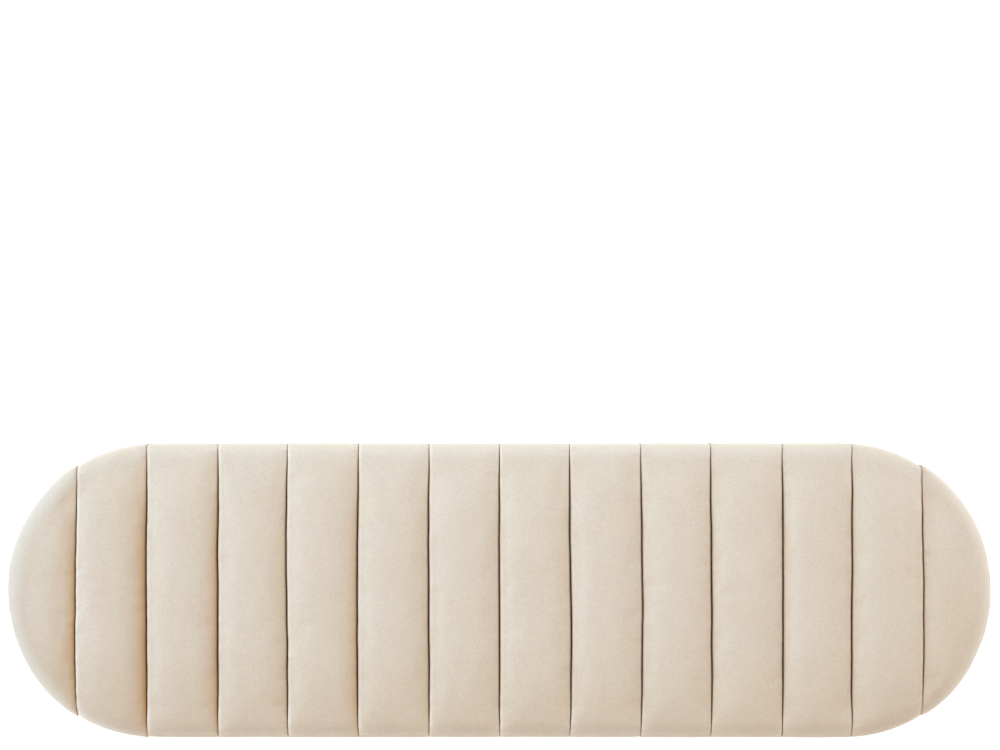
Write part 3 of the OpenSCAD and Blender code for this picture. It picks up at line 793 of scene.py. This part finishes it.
def floor_material():
    m = Mat("floor_white")
    tone = m.ramp(m.noise(3.0, 2.0, 0.5), [(0.3, (0.93, 0.93, 0.93)), (0.7, (0.95, 0.95, 0.95))])
    m.set(Base_Color=tone, Roughness=0.9, Specular_IOR_Level=0.1)
    m.bsdf.inputs["Emission Color"].default_value = (1, 1, 1, 1)
    m.bsdf.inputs["Emission Strength"].default_value = 0.62
    # seen from below, the floor lets the underside show
    pick = m.n("ShaderNodeMixShader")
    m.link(m.n("ShaderNodeNewGeometry").outputs["Backfacing"], pick.inputs[0])
    m.link(m.bsdf.outputs[0], pick.inputs[1])
    m.link(m.n("ShaderNodeBsdfTransparent").outputs[0], pick.inputs[2])
    m.link(pick.outputs[0], m.t.nodes["Material Output"].inputs["Surface"])
    return m.m


VELVET = velvet()
LEG = metal("leg_brass", (0.70, 0.585, 0.40), 0.30, 60.0, (14, 14, 0.5))
ZINC = metal("zinc_plate", (0.80, 0.81, 0.82), 0.30, 300.0)
YELLOW_ZINC = metal("yellow_zinc", (0.82, 0.74, 0.50), 0.32, 300.0)
WIRE = metal("staple_wire", (0.78, 0.78, 0.78), 0.28, 200.0)
BLACK_BOLT = metal("black_bolt", (0.16, 0.16, 0.165), 0.42, 400.0)
PLY = wood("birch_ply", (0.86, 0.74, 0.56), (0.66, 0.50, 0.33), "x", 20.0, ply=True)
PINE_X = wood("pine_along_x", (0.86, 0.70, 0.48), (0.68, 0.48, 0.28), "x")
PINE_Y = wood("pine_along_y", (0.86, 0.70, 0.48), (0.68, 0.48, 0.28), "y")
BEECH = wood("beech_board", (0.76, 0.57, 0.40), (0.56, 0.38, 0.24), "y", 34.0)
CAMBRIC = cloth("black_cambric", (0.13, 0.13, 0.135), (0.05, 0.05, 0.055), 1500.0)
TAPE = cloth("listing_tape", (0.50, 0.40, 0.28), (0.36, 0.28, 0.19), 1100.0)
FOAM = foam()
PLASTIC = plastic("black_nylon", (0.09, 0.09, 0.095), 0.5)


def paint(obj, material):
    obj.data.materials.clear()
    obj.data.materials.append(material)
    return obj


for name, obj in NODES.items():
    if name.startswith("channel_"):
        continue
    if name.startswith("leg_board"):
        use = BEECH
    elif name.startswith("leg_plug") or name.startswith("glide_foot"):
        use = PLASTIC
    elif name == "leg_bolts":
        use = BLACK_BOLT
    elif name.startswith("leg_"):
        use = LEG
    elif name in ("deck_screws", "frame_screws"):
        use = YELLOW_ZINC
    elif name in ("tee_nuts", "glide_nuts") or name.startswith("glide_stud"):
        use = ZINC
    elif name == "staples":
        use = WIRE
    elif name == "dust_cover":
        use = CAMBRIC
    elif name == "seam_listings":
        use = TAPE
    elif name == "foam_slab":
        use = FOAM
    elif name.startswith("cross_rail"):
        use = PINE_Y
    elif name in ("front_rail", "back_rail"):
        use = PINE_X
    else:
        use = PLY
    obj.data.materials.clear()
    obj.data.materials.append(use)

# ------------------------------------------------------------ the upholstery
for i, piece in enumerate(make_channels()):
    paint(piece, VELVET)
    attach(piece, "bench")
    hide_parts("channel_%02d" % (i + 1))

# --------------------------------------------------------- floor and lights
floor = bpy.data.meshes.new("floor")
floor.from_pydata([(-9, -9, 0), (9, -9, 0), (9, 9, 0), (-9, 9, 0)], [], [(0, 1, 2, 3)])
floor = bpy.data.objects.new("floor", floor)
COLLECTION.objects.link(floor)
floor.data.materials.append(floor_material())

# a pale wall far behind, which only the camera sees, so that it changes no light
turns = [2 * math.pi * k / 96 for k in range(96)]
wall = bpy.data.meshes.new("backdrop")
wall.from_pydata([(8.9 * math.cos(a), 8.9 * math.sin(a), z) for z in (-12, 16) for a in turns], [],
                 [(k, (k + 1) % 96, 96 + (k + 1) % 96, 96 + k) for k in range(96)] + [list(range(96)), list(range(96, 192))])
wall = bpy.data.objects.new("backdrop", wall)
COLLECTION.objects.link(wall)
wall.data.materials.append(backdrop_material())
wall.visible_diffuse = wall.visible_glossy = wall.visible_transmission = wall.visible_shadow = False

world = bpy.data.worlds.new("studio")
world.use_nodes = True
world.node_tree.nodes["Background"].inputs["Color"].default_value = (1.0, 0.72, 0.48, 1)
world.node_tree.nodes["Background"].inputs["Strength"].default_value = 0.236
SCENE.world = world


def softbox(name, turn, rise, away, size, power, colour=(1, 1, 1)):
    """A square soft light that faces the seat, at a turn round it and a rise above it in degrees."""
    light = bpy.data.lights.new(name, "AREA")
    light.shape = "RECTANGLE"
    light.size = light.size_y = size
    light.energy = power
    light.color = colour
    obj = bpy.data.objects.new(name, light)
    COLLECTION.objects.link(obj)
    a, e = math.radians(turn), math.radians(rise)
    seat = Vector((0, 0, 0.42))
    obj.location = seat + Vector((math.cos(e) * math.cos(a), math.cos(e) * math.sin(a), math.sin(e))) * away
    obj.rotation_mode = "QUATERNION"
    obj.rotation_quaternion = (seat - obj.location).to_track_quat("-Z", "Y")
    return obj


softbox("key_left_low", 180, 15, 5.0, 2.0, 153, (0.50, 0.77, 1.0))
softbox("key_left_high", 180, 35, 5.0, 2.0, 37, (1.0, 0.84, 0.815))
softbox("back", 90, 45, 2.8, 1.6, 48.3, (0.84, 0.935, 1.0))
softbox("back_low", 90, 20, 2.6, 1.6, 9.3, (0.3, 0.64, 1.0))
softbox("front", 270, 30, 2.6, 1.6, 14.4, (1.0, 0.805, 0.59))
softbox("front_low", 270, 12, 2.6, 1.2, 2.8, (0.4, 0.84, 1.0))
softbox("front_rim", 270, 4, 2.6, 1.0, 3.6, (0.1, 0.4, 1.0))
softbox("right_low", 0, 8, 2.4, 1.0, 14.6, (0.62, 0.81, 1.0))
softbox("right", 0, 20, 2.4, 1.0, 7.0, (1.0, 0.82, 0.71))

# ------------------------------------------------------------------- camera
cam = bpy.data.cameras.new("camera")
cam.type = "PERSP"
cam.sensor_width = 36.0
cam.lens = 115.0
HEIGHT, ASTERN = 4.8428, 0.20      # above the seat's top, and how far behind its middle line
camera = bpy.data.objects.new("camera", cam)
COLLECTION.objects.link(camera)
camera.location = (0.0008, ASTERN + 0.0018, 0.452 + HEIGHT)
camera.rotation_mode = "XYZ"
camera.rotation_euler = (math.atan(0.215 * cam.sensor_width / cam.lens) - math.atan(ASTERN / HEIGHT), 0.0, 0.0)
cam.clip_start, cam.clip_end = 0.1, 60
SCENE.camera = camera
SCENE.view_settings.view_transform = "Standard"
SCENE.view_settings.look = "None"
SCENE.view_settings.exposure = 0.0
SCENE.view_settings.gamma = 1.0
